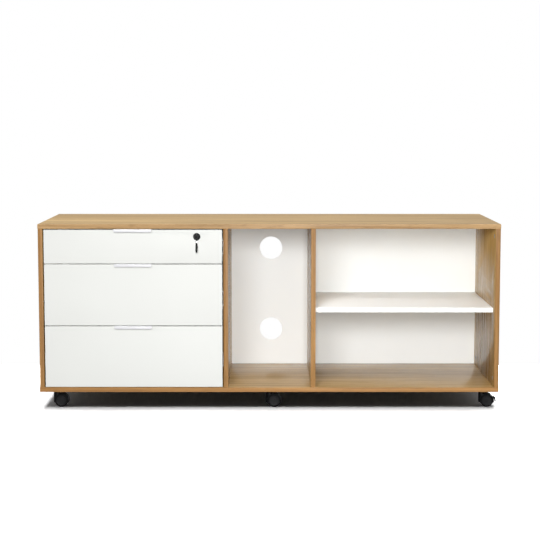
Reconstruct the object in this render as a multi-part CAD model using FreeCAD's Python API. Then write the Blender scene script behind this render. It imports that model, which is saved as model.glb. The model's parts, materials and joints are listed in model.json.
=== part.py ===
import FreeCAD, Part
import math
import os

from FreeCAD import Vector

# A low office cabinet on casters. Oak boards frame three white drawers on the left, an open bay with cable
# holes in the middle and an open bay with a shelf on the right. X runs along the width, Y from front to back
# and Z up, in millimetres. The origin is on the floor, under the middle of the whole object.

# Case boards
case_width = 1500.0
case_depth = 500.0
case_height = 550.0
board = 15.0
side_inset = 1.0
left_bay_width = 585.0
middle_bay_width = 270.0
right_divider_setback = 5.0

# Back boards, which stand in grooves of the case boards
back_board = 5.0
back_setback = 20.0
groove_depth = 5.0
groove_play = 0.15
back_end_play = 0.5
cable_hole_diameter = 80.0
cable_hole_shift = 5.0
upper_hole_drop = 104.0
lower_hole_rise = 126.0

# Shelf on four pins
shelf_rise = 242.0
shelf_recess = 43.0
shelf_play = 0.5
pin_diameter = 5.0
pin_fit = 0.05
pin_depth = 9.0
pin_reach = 8.0
pin_row_inset = 77.0

# Drawer fronts
top_front_height = 110.0
top_gap = 3.0
front_gap = 2.5
bottom_gap = 2.0
front_side_gap = 3.5
front_recess = 1.0

# Drawer boxes
box_board = 12.0
box_rear_room = 39.0
box_rise = 12.0
top_box_height = 80.0
deep_box_height = 150.0
base_board = 5.0
base_rise = 12.0
base_groove = 6.0
base_play = 0.15

# Three-part drawer slides
slide_space = 13.0
slide_height = 45.0
slide_sheet = 1.2
slide_setback = 6.0
slide_rear_setback = 14.0
slide_lip_gap = 0.5
slide_bend = 1.6
outer_rail_lip = 9.5
middle_rail_stand = 5.0
middle_rail_lip = 6.3
inner_rail_lip = 6.0

# Bent sheet pulls
pull_length = 122.0
pull_sheet = 1.5
pull_reach = 19.5
pull_lip = 8.0
pull_leg = 22.0
pull_bend = 2.0
pull_corner = 4.0

# Drawer lock
lock_from_edge = 82.0
lock_drop = 22.5
lock_ring_radius = 12.0
lock_ring = 1.5
barrel_radius = 10.0
barrel_fit = 0.1
plug_radius = 8.0
plug_recess = 0.4
running_fit = 0.05
lock_width = 40.0
lock_below = 17.0
lock_above = 19.5
lock_depth = 12.0
lock_cover = 1.0
bolt_thickness = 5.0
bolt_body_width = 22.0
bolt_tongue_width = 14.0
bolt_below = 9.0
bolt_shoulder = 8.0
bolt_above = 21.5
bolt_play = 0.2
bolt_slot_margin = 1.5
bolt_slot_depth = 8.0
crank_radius = 6.0
crank_pin_radius = 1.5
crank_play = 0.4
crank_start = math.radians(45)

# Folding key
blade_thickness = 2.2
blade_height = 8.6
blade_fit = 0.1
blade_depth = 15.0
key_pivot_reach = 13.0
key_pin_radius = 1.2
yoke_sheet = 1.2
yoke_fit = 0.15
yoke_neck = 6.6
yoke_bridge = 7.0
grip_start = 19.2
grip_end = 50.5
grip_width = 19.0
grip_thickness = 6.0
grip_corner = 6.0

# Casters
caster_height = 56.0
caster_end_inset = 49.0
caster_edge_inset = 50.0
caster_trail = 16.0
wheel_radius = 21.0
wheel_width = 12.8
wheel_shoulder = 1.0
wheel_gap = 0.4
wheel_play = 0.8
axle_radius = 3.0
web = 9.6
fender = 1.5
fender_overhang = 0.5
skirt_below_axle = 6.5
socket_radius = 10.5
swivel_gap = 0.3
plate_width = 44.0
plate = 2.5
plate_corner = 4.0

# Brake levers, hung between two ears of the hood
lever_width = 14.0
lever_fit = 0.3
lever_pivot_gap = 2.5
lever_pivot_rise = math.radians(18)
lever_boss = 2.4
lever_pin_radius = 1.2
lever_reach = 6.4
lever_drop = 12.6
lever_sheet = 2.4
shoe_width = 2.6
shoe_reach = 4.4
shoe_turn = math.radians(43)
ear = 2.0
ear_margin = 0.5

# Heights
bay_floor = caster_height + board
bay_ceiling = caster_height + case_height - board
case_top = caster_height + case_height

# Front and rear planes, with the whole object centred between the foremost piece and the rear edge
key_reach = key_pivot_reach + grip_width / 2 - front_recess
front_reach = max(key_reach, pull_reach - front_recess)
case_front = (front_reach - case_depth) / 2
case_rear = case_front + case_depth
back_rear = case_rear - back_setback
back_face = back_rear - back_board
front_face = case_front + front_recess
front_back = front_face + board

# Bays, each from its left to its right wall
side_left_face = side_inset - case_width / 2
left_bay = (side_left_face + board, side_left_face + board + left_bay_width)
middle_bay = (left_bay[1] + board, left_bay[1] + board + middle_bay_width)
right_bay = (middle_bay[1] + board, case_width / 2 - side_inset - board)
bays = {"left": left_bay, "middle": middle_bay, "right": right_bay}

# Uprights, each from its left to its right face
uprights = {
    "side_panel_left": (side_left_face, left_bay[0]),
    "divider_left": (left_bay[1], middle_bay[0]),
    "divider_right": (middle_bay[1], right_bay[0]),
    "side_panel_right": (right_bay[1], right_bay[1] + board),
}

# Drawer fronts from the bottom up, each from its lower to its upper edge
front_x = (left_bay[0] + front_side_gap, left_bay[1] - front_side_gap)
bay_height = bay_ceiling - bay_floor
deep_front_height = (bay_height - top_gap - bottom_gap - 2 * front_gap - top_front_height) / 2
bottom_front = (bay_floor + bottom_gap, bay_floor + bottom_gap + deep_front_height)
middle_front = (bottom_front[1] + front_gap, bottom_front[1] + front_gap + deep_front_height)
top_front = (middle_front[1] + front_gap, bay_ceiling - top_gap)
drawers = {
    "top": (top_front, top_box_height),
    "middle": (middle_front, deep_box_height),
    "bottom": (bottom_front, deep_box_height),
}
box_x = (left_bay[0] + slide_space, left_bay[1] - slide_space)
box_y = (front_back, back_face - box_rear_room)
slide_y = (front_back + slide_setback, box_y[1] - slide_rear_setback)

# Lock axis, bolt and key pivot
lock_x = front_x[1] - lock_from_edge
lock_z = top_front[1] - lock_drop
bolt_front = front_back + lock_depth - bolt_thickness - 2 * bolt_play
bolt_y = (bolt_front + bolt_play, bolt_front + bolt_play + bolt_thickness)
bolt_throw = 2 * crank_radius * math.sin(crank_start)
key_pivot_y = front_face - key_pivot_reach

# Caster places, by the name of the corner
caster_x = {"left": caster_end_inset - case_width / 2, "centre": 0.0, "right": case_width / 2 - caster_end_inset}
caster_y = {"front": case_front + caster_edge_inset, "rear": case_rear - caster_edge_inset}
braked_casters = ("front_right", "rear_left")
hood_width = web + 2 * (wheel_gap + wheel_width + fender_overhang)
hood_radius = wheel_radius + wheel_play + fender
lever_pivot_radius = hood_radius + lever_pivot_gap
lever_pivot = (
    caster_trail + lever_pivot_radius * math.cos(lever_pivot_rise),
    wheel_radius + lever_pivot_radius * math.sin(lever_pivot_rise),
)

ALONG_X = Vector(1, 0, 0)
ALONG_Y = Vector(0, 1, 0)
ALONG_Z = Vector(0, 0, 1)


def block(x, y, z):
    """Box between a pair of limits along each axis."""
    return Part.makeBox(x[1] - x[0], y[1] - y[0], z[1] - z[0], Vector(x[0], y[0], z[0]))


def rod(start, axis, radius, length):
    """Round bar from start along axis."""
    return Part.makeCylinder(radius, length, Vector(*start), axis)


def grown(limits, margin):
    """Limits moved apart by a margin at each end."""
    return (limits[0] - margin, limits[1] + margin)


def rounded_face(corners, place):
    """Flat face through corners (a, b, radius), where place turns a and b into a point."""
    points = [place(a, b) for a, b, _ in corners]
    edges = []
    entries = []
    exits = []
    for i, (_, _, radius) in enumerate(corners):
        point = points[i]
        if radius == 0:
            entries.append(point)
            exits.append(point)
            continue
        back = (points[i - 1] - point).normalize()
        ahead = (points[(i + 1) % len(points)] - point).normalize()
        half = back.getAngle(ahead) / 2
        middle = (back + ahead).normalize()
        centre = point + middle * (radius / math.sin(half))
        entries.append(point + back * (radius / math.tan(half)))
        exits.append(point + ahead * (radius / math.tan(half)))
        edges.append(Part.Arc(entries[i], centre - middle * radius, exits[i]).toShape())
    for i, leave in enumerate(exits):
        arrive = entries[(i + 1) % len(points)]
        edges.append(Part.makeLine(leave, arrive))
    return Part.Face(Part.Wire(Part.__sortEdges__(edges)))


def prism_along_x(corners, x):
    """Solid with an outline in Y and Z, run between two X limits."""
    face = rounded_face(corners, lambda y, z: Vector(x[0], y, z))
    return face.extrude(ALONG_X * (x[1] - x[0]))


def prism_along_y(corners, y):
    """Solid with an outline in X and Z, run between two Y limits."""
    face = rounded_face(corners, lambda x, z: Vector(x, y[0], z))
    return face.extrude(ALONG_Y * (y[1] - y[0]))


def rectangle(a, b, radius=0):
    """Corners of a rectangle between two pairs of limits."""
    return [(a[0], b[0], radius), (a[1], b[0], radius), (a[1], b[1], radius), (a[0], b[1], radius)]


def save(name, *solids):
    """One file for one named piece, or for a group of like pieces."""
    shape = solids[0] if len(solids) == 1 else Part.makeCompound(list(solids))
    shape.exportStep(f"parts/{name}.step")


# Case


def back_grooves():
    """Room for the back boards' edges in every case board."""
    y = grown((back_face, back_rear), groove_play)
    z = grown((bay_floor, bay_ceiling), groove_depth)
    return [block(grown(x, groove_depth), y, z) for x in bays.values()]


def bolt_slot():
    """Blind slot in the top panel that the lock bolt rises into."""
    half = bolt_tongue_width / 2 + bolt_slot_margin
    y = grown(bolt_y, bolt_slot_margin)
    return block((lock_x - half, lock_x + half), y, (bay_ceiling, bay_ceiling + bolt_slot_depth))


def make_top_and_bottom():
    x = (-case_width / 2, case_width / 2)
    y = (case_front, case_rear)
    top = block(x, y, (bay_ceiling, case_top))
    save("top_panel", top.cut(back_grooves() + [bolt_slot()]))
    bottom = block(x, y, (caster_height, bay_floor))
    save("bottom_panel", bottom.cut(back_grooves()))


def shelf_pins(margin):
    """Pins under the shelf's corners, grown by a margin where they sit in the walls of the right bay."""
    level = bay_floor + shelf_rise - pin_diameter / 2
    radius = pin_diameter / 2 + margin
    length = pin_depth + pin_reach
    pins = []
    for y in (case_front + pin_row_inset, back_face - pin_row_inset):
        pins.append(rod((right_bay[0] - pin_depth, y, level), ALONG_X, radius, length))
        pins.append(rod((right_bay[1] - pin_reach, y, level), ALONG_X, radius, length))
    return pins


def make_uprights():
    for name, x in uprights.items():
        setback = right_divider_setback if name == "divider_right" else 0
        upright = block(x, (case_front + setback, case_rear), (bay_floor, bay_ceiling))
        save(name, upright.cut(back_grooves() + shelf_pins(pin_fit)))


def make_back_boards():
    for name, x in bays.items():
        reach = groove_depth - back_end_play
        z = (bay_floor - groove_depth, bay_ceiling + reach)
        back = block(grown(x, reach), (back_face, back_rear), z)
        if name == "middle":
            for height in (bay_ceiling - upper_hole_drop, bay_floor + lower_hole_rise):
                start = (sum(x) / 2 + cable_hole_shift, back_face, height)
                back = back.cut(rod(start, ALONG_Y, cable_hole_diameter / 2, back_board))
        save(f"back_panel_{name}", back)


def make_shelf():
    y = (case_front + shelf_recess, back_face - shelf_play)
    z = (bay_floor + shelf_rise, bay_floor + shelf_rise + board)
    save("shelf", block(grown(right_bay, -shelf_play), y, z))
    save("shelf_pins", *shelf_pins(0))


# Drawers


def box_limits(front, height):
    """Lower and upper edge of a drawer's sides."""
    return (front[0] + box_rise, front[0] + box_rise + height)


def base_limits(front):
    """Lower and upper face of a drawer's base board."""
    low = front[0] + box_rise + base_rise
    return (low, low + base_board)


def make_pull(name, front):
    """Sheet that hooks over the front's upper edge, reaches forward and ends in a short lip."""
    upper = front[1] + pull_sheet
    nose = front_face - pull_reach
    lip_end = upper - pull_lip
    leg_end = front[1] - pull_leg
    corners = [
        (front_back + pull_sheet, leg_end, 0),
        (front_back + pull_sheet, upper, pull_bend),
        (nose, upper, pull_bend),
        (nose, lip_end, 0),
        (nose + pull_sheet, lip_end, 0),
        (nose + pull_sheet, front[1], pull_bend - pull_sheet),
        (front_back, front[1], 0),
        (front_back, leg_end, 0),
    ]
    middle = sum(front_x) / 2
    pull = prism_along_x(corners, grown((middle, middle), pull_length / 2))
    lip_corners = []
    for edge in pull.Edges:
        heights = [vertex.Z for vertex in edge.Vertexes]
        runs_along_y = abs(edge.Vertexes[0].X - edge.Vertexes[-1].X) < pull_sheet / 2
        if max(heights) - lip_end < pull_sheet / 2 and runs_along_y and edge.Vertexes[0].Y < front_face:
            lip_corners.append(edge)
    save(f"drawer_{name}_pull", pull.makeFillet(pull_corner, lip_corners))


def make_drawer_front(name, front):
    face = block(front_x, (front_face, front_back), front)
    groove_x = grown(box_x, -box_board + base_groove)
    groove_y = (front_back - base_groove, front_back)
    face = face.cut(block(groove_x, groove_y, grown(base_limits(front), base_play)))
    if name == "top":
        start = (lock_x, front_face, lock_z)
        face = face.cut(rod(start, ALONG_Y, barrel_radius + barrel_fit, board))
    save(f"drawer_{name}_front", face)


def make_drawer_box(name, front, height):
    z = box_limits(front, height)
    base_z = base_limits(front)
    inner_x = grown(box_x, -box_board)
    groove = block(grown(inner_x, base_groove), box_y, grown(base_z, base_play))
    save(f"drawer_{name}_side_left", block((box_x[0], inner_x[0]), box_y, z).cut(groove))
    save(f"drawer_{name}_side_right", block((inner_x[1], box_x[1]), box_y, z).cut(groove))
    save(f"drawer_{name}_back", block(inner_x, (box_y[1] - box_board, box_y[1]), (base_z[1], z[1])))
    base_x = grown(inner_x, base_groove - base_play)
    base_y = (front_back - base_groove + base_play, box_y[1])
    save(f"drawer_{name}_base", block(base_x, base_y, base_z))


def rail(web_at, lip, half_height, opens, wall, level):
    """One bent rail on a wall. Distances count from the wall towards the drawer."""
    wall_x, side = wall
    far = web_at + opens * slide_sheet
    tip = web_at + opens * lip
    bent = web_at + opens * slide_bend
    profile = [
        (bent, -half_height),
        (tip, -half_height),
        (tip, -half_height + slide_sheet),
        (far, -half_height + slide_sheet),
        (far, half_height - slide_sheet),
        (tip, half_height - slide_sheet),
        (tip, half_height),
        (bent, half_height),
        (web_at, half_height - slide_bend),
        (web_at, slide_bend - half_height),
    ]
    corners = [(wall_x + side * u, level + v, 0) for u, v in profile]
    return prism_along_y(corners, slide_y)


def make_slides():
    """A C-shaped rail on the case, one on the drawer and a middle rail nested between their lips."""
    walls = [(left_bay[0], 1), (left_bay[1], -1)]
    outer_half = slide_height / 2
    middle_half = outer_half - slide_sheet - slide_lip_gap
    inner_half = middle_half - slide_sheet - slide_lip_gap
    cabinet_rails = []
    for name, (front, height) in drawers.items():
        level = sum(box_limits(front, height)) / 2
        middle_rails = []
        drawer_rails = []
        for wall in walls:
            cabinet_rails.append(rail(0, outer_rail_lip, outer_half, 1, wall, level))
            middle_rails.append(rail(middle_rail_stand, middle_rail_lip, middle_half, 1, wall, level))
            drawer_rails.append(rail(slide_space, inner_rail_lip, inner_half, -1, wall, level))
        save(f"slide_{name}_middle_rails", *middle_rails)
        save(f"drawer_{name}_slide_rails", *drawer_rails)
    save("slide_cabinet_rails", *cabinet_rails)


# Lock and key


def from_lock(x, z):
    """Limits counted from the lock's axis."""
    return (lock_x + x[0], lock_x + x[1]), (lock_z + z[0], lock_z + z[1])


def make_lock_housing():
    """Ring and barrel through the drawer front, with a block behind it that guides the bolt."""
    x, z = from_lock((-lock_width / 2, lock_width / 2), (-lock_below, lock_above))
    body = block(x, (front_back, front_back + lock_depth), z)
    ring_front = front_face - lock_ring
    barrel_start = (lock_x, front_face, lock_z)
    barrel = rod(barrel_start, ALONG_Y, barrel_radius, board + lock_depth / 4)
    ring = rod((lock_x, ring_front, lock_z), ALONG_Y, lock_ring_radius, lock_ring)
    ring_edges = [edge for edge in ring.Edges if abs(edge.CenterOfMass.y - ring_front) < lock_ring / 4]
    ring = ring.makeChamfer(lock_ring / 2, ring_edges)
    body = body.fuse([barrel, ring])
    bore_start = (lock_x, ring_front, lock_z)
    bore = rod(bore_start, ALONG_Y, plug_radius + running_fit, bolt_front - ring_front)
    half = bolt_body_width / 2 + bolt_play
    shoulder = bolt_shoulder + bolt_throw + bolt_play
    pocket_y = (bolt_front, front_back + lock_depth)
    wide_x, wide_z = from_lock((-half, half), (-bolt_below - bolt_play, shoulder))
    neck = bolt_tongue_width / 2 + bolt_play
    neck_x, neck_z = from_lock((-neck, neck), (0, lock_above))
    body = body.cut([bore, block(wide_x, pocket_y, wide_z), block(neck_x, pocket_y, neck_z)])
    save("lock_housing", body.removeSplitter())
    cover_y = (front_back + lock_depth, front_back + lock_depth + lock_cover)
    save("lock_cover", block(x, cover_y, z))


def crank_pin_place():
    """Centre of the crank pin at rest, down and to the left of the lock's axis."""
    across = crank_radius * math.cos(crank_start)
    return (lock_x - across, lock_z - crank_radius * math.sin(crank_start))


def make_lock_plug():
    """Turning core with a keyway in front and a crank pin behind."""
    start = front_face - lock_ring + plug_recess
    plug = rod((lock_x, start, lock_z), ALONG_Y, plug_radius, bolt_front - start)
    pin_x, pin_z = crank_pin_place()
    pin = rod((pin_x, bolt_front, pin_z), ALONG_Y, crank_pin_radius, bolt_thickness)
    half = blade_thickness / 2 + blade_fit
    tall = blade_height / 2 + blade_fit
    x, z = from_lock((-half, half), (-tall, tall))
    keyway = block(x, (start, start + blade_depth + blade_fit), z)
    save("lock_plug", plug.fuse(pin).cut(keyway).removeSplitter())


def make_lock_bolt():
    """Plate with a tongue on top and a cross slot that the crank pin lifts."""
    body = bolt_body_width / 2
    tongue = bolt_tongue_width / 2
    corners = [
        (-body, -bolt_below, 0),
        (body, -bolt_below, 0),
        (body, bolt_shoulder, 0),
        (tongue, bolt_shoulder, 0),
        (tongue, bolt_above, 0),
        (-tongue, bolt_above, 0),
        (-tongue, bolt_shoulder, 0),
        (-body, bolt_shoulder, 0),
    ]
    bolt = prism_along_y([(lock_x + x, lock_z + z, radius) for x, z, radius in corners], bolt_y)
    pin_x, pin_z = crank_pin_place()
    room = crank_pin_radius + crank_play
    slot_x = (lock_x - crank_radius - room, pin_x + room)
    slot = block(slot_x, bolt_y, (pin_z - room, pin_z + room))
    save("lock_bolt", bolt.cut(slot))


def make_key():
    """Steel blade in the plug, with a grip that folds down on a forked yoke."""
    half = blade_height / 2
    blade_end = front_face - lock_ring + plug_recess + blade_depth
    blade_x = grown((lock_x, lock_x), blade_thickness / 2)
    blade = block(blade_x, (key_pivot_y, blade_end), grown((lock_z, lock_z), half))
    eye = rod((blade_x[0], key_pivot_y, lock_z), ALONG_X, half, blade_thickness)
    hole = rod((blade_x[0], key_pivot_y, lock_z), ALONG_X, key_pin_radius + running_fit, blade_thickness)
    save("key_blade", blade.fuse(eye).cut(hole).removeSplitter())

    inner = blade_thickness / 2 + yoke_fit
    outer = inner + yoke_sheet
    yoke_x = grown((lock_x, lock_x), outer)
    bridge_top = lock_z - grip_start + yoke_bridge
    neck_y = grown((key_pivot_y, key_pivot_y), yoke_neck / 2)
    cheeks = block(yoke_x, neck_y, (lock_z - grip_start, lock_z))
    crown = rod((yoke_x[0], key_pivot_y, lock_z), ALONG_X, yoke_neck / 2, 2 * outer)
    gap = block(grown((lock_x, lock_x), inner), grown(neck_y, half), (bridge_top, lock_z + half))
    pin = rod((yoke_x[0], key_pivot_y, lock_z), ALONG_X, key_pin_radius, 2 * outer)
    save("key_yoke", cheeks.fuse(crown).cut(gap).fuse(pin).removeSplitter())

    grip_y = grown((key_pivot_y, key_pivot_y), grip_width / 2)
    grip_z = (lock_z - grip_end, lock_z - grip_start)
    grip_x = grown((lock_x, lock_x), grip_thickness / 2)
    grip = prism_along_x(rectangle(grip_y, grip_z, grip_corner), grip_x)
    save("key_grip", grip)


# Casters, drawn with the swivel axis at the origin and the wheels trailing along X


def turned_to_wheel(solid):
    """Solid drawn level with the lever's pivot, leaned to point at the wheels' axle."""
    x, z = lever_pivot
    return solid.rotated(Vector(x, 0, z), ALONG_Y, -math.degrees(lever_pivot_rise))


def hood_ears():
    """Two ears that carry a brake lever's pin, run back into the fender."""
    x, z = lever_pivot
    size = lever_boss + ear_margin
    root = x - lever_pivot_gap - fender
    corners = [
        (root, z - size, 0),
        (x + size / 2, z - size, 0),
        (x + size, z - size / 2, 0),
        (x + size, z + size / 2, 0),
        (x + size / 2, z + size, 0),
        (root, z + size, 0),
    ]
    ears = []
    for side in (-1, 1):
        inner = side * (lever_width / 2 + lever_fit)
        y = sorted((inner, inner + side * ear))
        hole = rod((x, y[0], z), ALONG_Y, lever_pin_radius + running_fit, ear)
        ears.append(turned_to_wheel(prism_along_y(corners, y).cut(hole)))
    return ears


def shoe_room():
    """Window in the fender for the lever's nose and shoe."""
    x, z = lever_pivot
    room = grown((0, 0), lever_width / 2 + lever_fit)
    depth = shoe_reach + 2 * lever_fit
    return turned_to_wheel(block((x - depth, x), room, (z - depth, z + lever_boss + lever_fit)))


def hood(braked):
    """Moulded fender over both wheels, with a web between them and a closed swivel housing on top."""
    half = hood_width / 2
    skirt = wheel_radius - skirt_below_axle
    socket_top = caster_height - plate - swivel_gap
    drum = rod((caster_trail, -half, wheel_radius), ALONG_Y, hood_radius, hood_width)
    below = block(grown((caster_trail, caster_trail), 2 * hood_radius), grown((0, 0), hood_width), (-skirt, skirt))
    socket = rod((0, 0, skirt), ALONG_Z, socket_radius, socket_top - skirt)
    body = drum.cut(below).fuse(socket)
    if braked:
        body = body.fuse(hood_ears())
    well_radius = wheel_radius + wheel_play
    tools = []
    for start in (-hood_width, web / 2):
        length = hood_width - web / 2
        tools.append(rod((caster_trail, start, wheel_radius), ALONG_Y, well_radius, length))
    tools.append(rod((caster_trail, -half, wheel_radius), ALONG_Y, axle_radius + running_fit, hood_width))
    if braked:
        tools.append(shoe_room())
    return body.cut(tools).removeSplitter()


def wheel_set():
    """Two wheels and their axle, turned together: flat faces, eased shoulders, treads and the thin axle."""
    inner = web / 2 + wheel_gap
    outer = inner + wheel_width
    half = [
        (outer, 0),
        (outer, wheel_radius - wheel_shoulder),
        (outer - wheel_shoulder, wheel_radius),
        (inner, wheel_radius),
        (inner, axle_radius),
    ]
    mirrored = [(-y, radius) for y, radius in reversed(half)]
    corners = [(y, radius, 0) for y, radius in half + mirrored]
    face = rounded_face(corners, lambda y, r: Vector(caster_trail, y, wheel_radius + r))
    return face.revolve(Vector(caster_trail, 0, wheel_radius), ALONG_Y, 360)


def brake_lever():
    """Hooked pedal with a pin through the hood's ears and a shoe that tilts towards the wheels."""
    x, z = lever_pivot
    y = grown((0, 0), lever_width / 2)
    pin_half = lever_width / 2 + lever_fit + ear
    pin = rod((x, -pin_half, z), ALONG_Y, lever_pin_radius, 2 * pin_half)
    top = lever_boss - lever_fit
    outline = [
        (-lever_boss / 2, top, 0),
        (lever_reach - lever_sheet, top, lever_sheet),
        (lever_reach, -lever_drop, 0),
        (lever_reach - lever_sheet, -lever_drop, 0),
        (lever_reach - 2 * lever_sheet, -lever_boss, 0),
        (-lever_boss / 2, -lever_boss, 0),
        (-lever_boss, -lever_boss / 2, 0),
        (-lever_boss, top - lever_boss / 2, 0),
    ]
    arm = prism_along_y([(x + u, z + v, radius) for u, v, radius in outline], y)
    shoe = block((x - shoe_reach, x), y, grown((z, z), shoe_width / 2))
    shoe = turned_to_wheel(shoe.rotated(Vector(x, 0, z), ALONG_Y, -math.degrees(shoe_turn)))
    return arm.fuse([pin, shoe]).removeSplitter()


def caster_plate():
    """Screw plate with cropped corners, just above the hood's swivel housing."""
    half = plate_width / 2
    short = half - plate_corner
    corners = []
    for x, y in ((1, 1), (-1, 1), (-1, -1), (1, -1)):
        cropped = [(x * half, y * short, 0), (x * short, y * half, 0)]
        corners += cropped if x == y else cropped[::-1]
    face = rounded_face(corners, lambda x, y: Vector(x, y, caster_height - plate))
    return face.extrude(ALONG_Z * plate)


def make_casters():
    plates = []
    for row, y in caster_y.items():
        for column, x in caster_x.items():
            corner = f"{row}_{column}"
            place = Vector(x, y, 0)
            braked = corner in braked_casters
            plates.append(caster_plate().translated(place))
            save(f"caster_{corner}_hood", hood(braked).translated(place))
            save(f"caster_{corner}_wheels", wheel_set().translated(place))
            if braked:
                save(f"caster_{corner}_brake", brake_lever().translated(place))
    save("caster_plates", *plates)


os.makedirs("parts", exist_ok=True)
make_top_and_bottom()
make_uprights()
make_back_boards()
make_shelf()
for drawer, (drawer_front, drawer_height) in drawers.items():
    make_drawer_front(drawer, drawer_front)
    make_drawer_box(drawer, drawer_front, drawer_height)
    make_pull(drawer, drawer_front)
make_slides()
make_lock_housing()
make_lock_plug()
make_lock_bolt()
make_key()
make_casters()
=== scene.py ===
# %% [markdown]
# # A low office cabinet on casters
# A case of oak laminate boards holds three white drawers, an open bay with two cable holes and an open bay
# with a shelf. Every piece that carries, slides or turns is already built to size. This lesson loads those
# pieces, gives each surface a procedural finish, and adds what is only looks: rounded edges, screws, cam
# locks, spare shelf-pin holes and turned caster wheels. No piece is moved or resized.

# %% Load the pieces
import json
import math
from functools import partial

import bmesh
import bpy
from mathutils import Matrix, Vector


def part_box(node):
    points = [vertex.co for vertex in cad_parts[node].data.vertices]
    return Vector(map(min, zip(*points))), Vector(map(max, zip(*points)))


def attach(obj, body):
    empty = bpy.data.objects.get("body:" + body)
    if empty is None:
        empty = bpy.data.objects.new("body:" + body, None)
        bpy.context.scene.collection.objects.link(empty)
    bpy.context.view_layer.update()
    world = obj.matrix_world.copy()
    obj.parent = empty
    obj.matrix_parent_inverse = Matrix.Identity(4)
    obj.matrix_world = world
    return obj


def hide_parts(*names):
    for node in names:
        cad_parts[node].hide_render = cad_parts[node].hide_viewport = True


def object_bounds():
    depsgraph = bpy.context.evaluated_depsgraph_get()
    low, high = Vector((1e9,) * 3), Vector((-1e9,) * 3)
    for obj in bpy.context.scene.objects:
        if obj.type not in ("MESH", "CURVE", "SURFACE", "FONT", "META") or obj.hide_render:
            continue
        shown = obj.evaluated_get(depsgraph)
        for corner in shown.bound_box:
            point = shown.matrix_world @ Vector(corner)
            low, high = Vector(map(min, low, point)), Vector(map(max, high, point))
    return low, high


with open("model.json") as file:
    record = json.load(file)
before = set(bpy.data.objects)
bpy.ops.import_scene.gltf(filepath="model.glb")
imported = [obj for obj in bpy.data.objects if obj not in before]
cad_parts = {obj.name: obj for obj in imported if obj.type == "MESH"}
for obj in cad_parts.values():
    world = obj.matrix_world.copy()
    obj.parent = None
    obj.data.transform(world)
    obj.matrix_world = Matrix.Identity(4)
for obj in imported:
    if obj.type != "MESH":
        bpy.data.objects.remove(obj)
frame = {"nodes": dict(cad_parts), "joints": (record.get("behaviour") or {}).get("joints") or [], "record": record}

MM = 0.001
parts = frame["nodes"]
body_of_part = {}
for body, names in frame["record"]["behaviour"]["bodies"].items():
    for name in names:
        body_of_part[name] = body
cad_low, cad_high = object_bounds()
print("loaded", len(parts), "pieces, box in mm", [round(side / MM) for side in cad_high - cad_low])

# %% [markdown]
# ## Camera
# The photograph was taken from in front, a little above the top, with a long lens: the sides of the case
# converge only slightly. A long lens far away gives that calm perspective. The five values below were
# worked out from where the corners of the top and the bays appear. A shifted lens could level the view
# instead, but looking down a little needs no shift and keeps the slight convergence.

# %% Place the camera
eye_distance = 4785 * MM
eye_height = 962 * MM
eye_offset = 2.5 * MM
look_down = math.radians(6.02)
focal_length = 98.95

front_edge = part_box("top_panel")[0].y
camera_data = bpy.data.cameras.new("front_camera")
camera_data.lens = focal_length
camera = bpy.data.objects.new("front_camera", camera_data)
camera.location = (eye_offset, front_edge - eye_distance, eye_height)
camera.rotation_euler = (math.pi / 2 - look_down, 0, 0)
bpy.context.scene.collection.objects.link(camera)
bpy.context.scene.camera = camera
bpy.context.scene.view_settings.view_transform = "Standard"
print("camera at", [round(value, 3) for value in camera.location])

# %% [markdown]
# ## A small language for node trees
# Finishes, fasteners and the studio are all node trees. Building a tree by hand takes many lines, so two
# helpers add a node, set its sockets by name and join outputs to inputs. A third turns the colour of a
# paint, as it is known from a screen, into the linear light that the nodes work in.


# %% Define the node helpers
def join(tree, value, socket):
    """Links an output to a socket, or sets the socket's own value."""
    if isinstance(value, bpy.types.NodeSocket):
        tree.links.new(value, socket)
    else:
        socket.default_value = value


def add_node(tree, kind, settings=None, **sockets):
    """Adds a node to a tree. An underscore in a socket's name stands for a space."""
    node = tree.nodes.new(kind)
    for name, value in (settings or {}).items():
        setattr(node, name, value)
    for name, value in sockets.items():
        join(tree, value, node.inputs[name.replace("_", " ")])
    return node


def colour(red, green, blue):
    """Linear colour of a paint that is known by its screen values."""
    linear = []
    for value in (red, green, blue):
        share = value / 255
        linear.append(share / 12.92 if share < 0.04045 else ((share + 0.055) / 1.055) ** 2.4)
    return (*linear, 1)


print("node helpers: half of screen white is", round(colour(128, 128, 128)[0], 3), "in linear light")

# %% [markdown]
# ## A finish under construction
# A finish is the foil, paint or plating of a piece. Its tree always ends in one Principled shader, so a
# small class keeps that shader at hand, with the patterns that several finishes share. Images could give
# these patterns too, but noise has no pixels and never repeats. All patterns read Object coordinates: the
# pieces sit at the origin, so one metre in the pattern is one metre on the cabinet.


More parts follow.
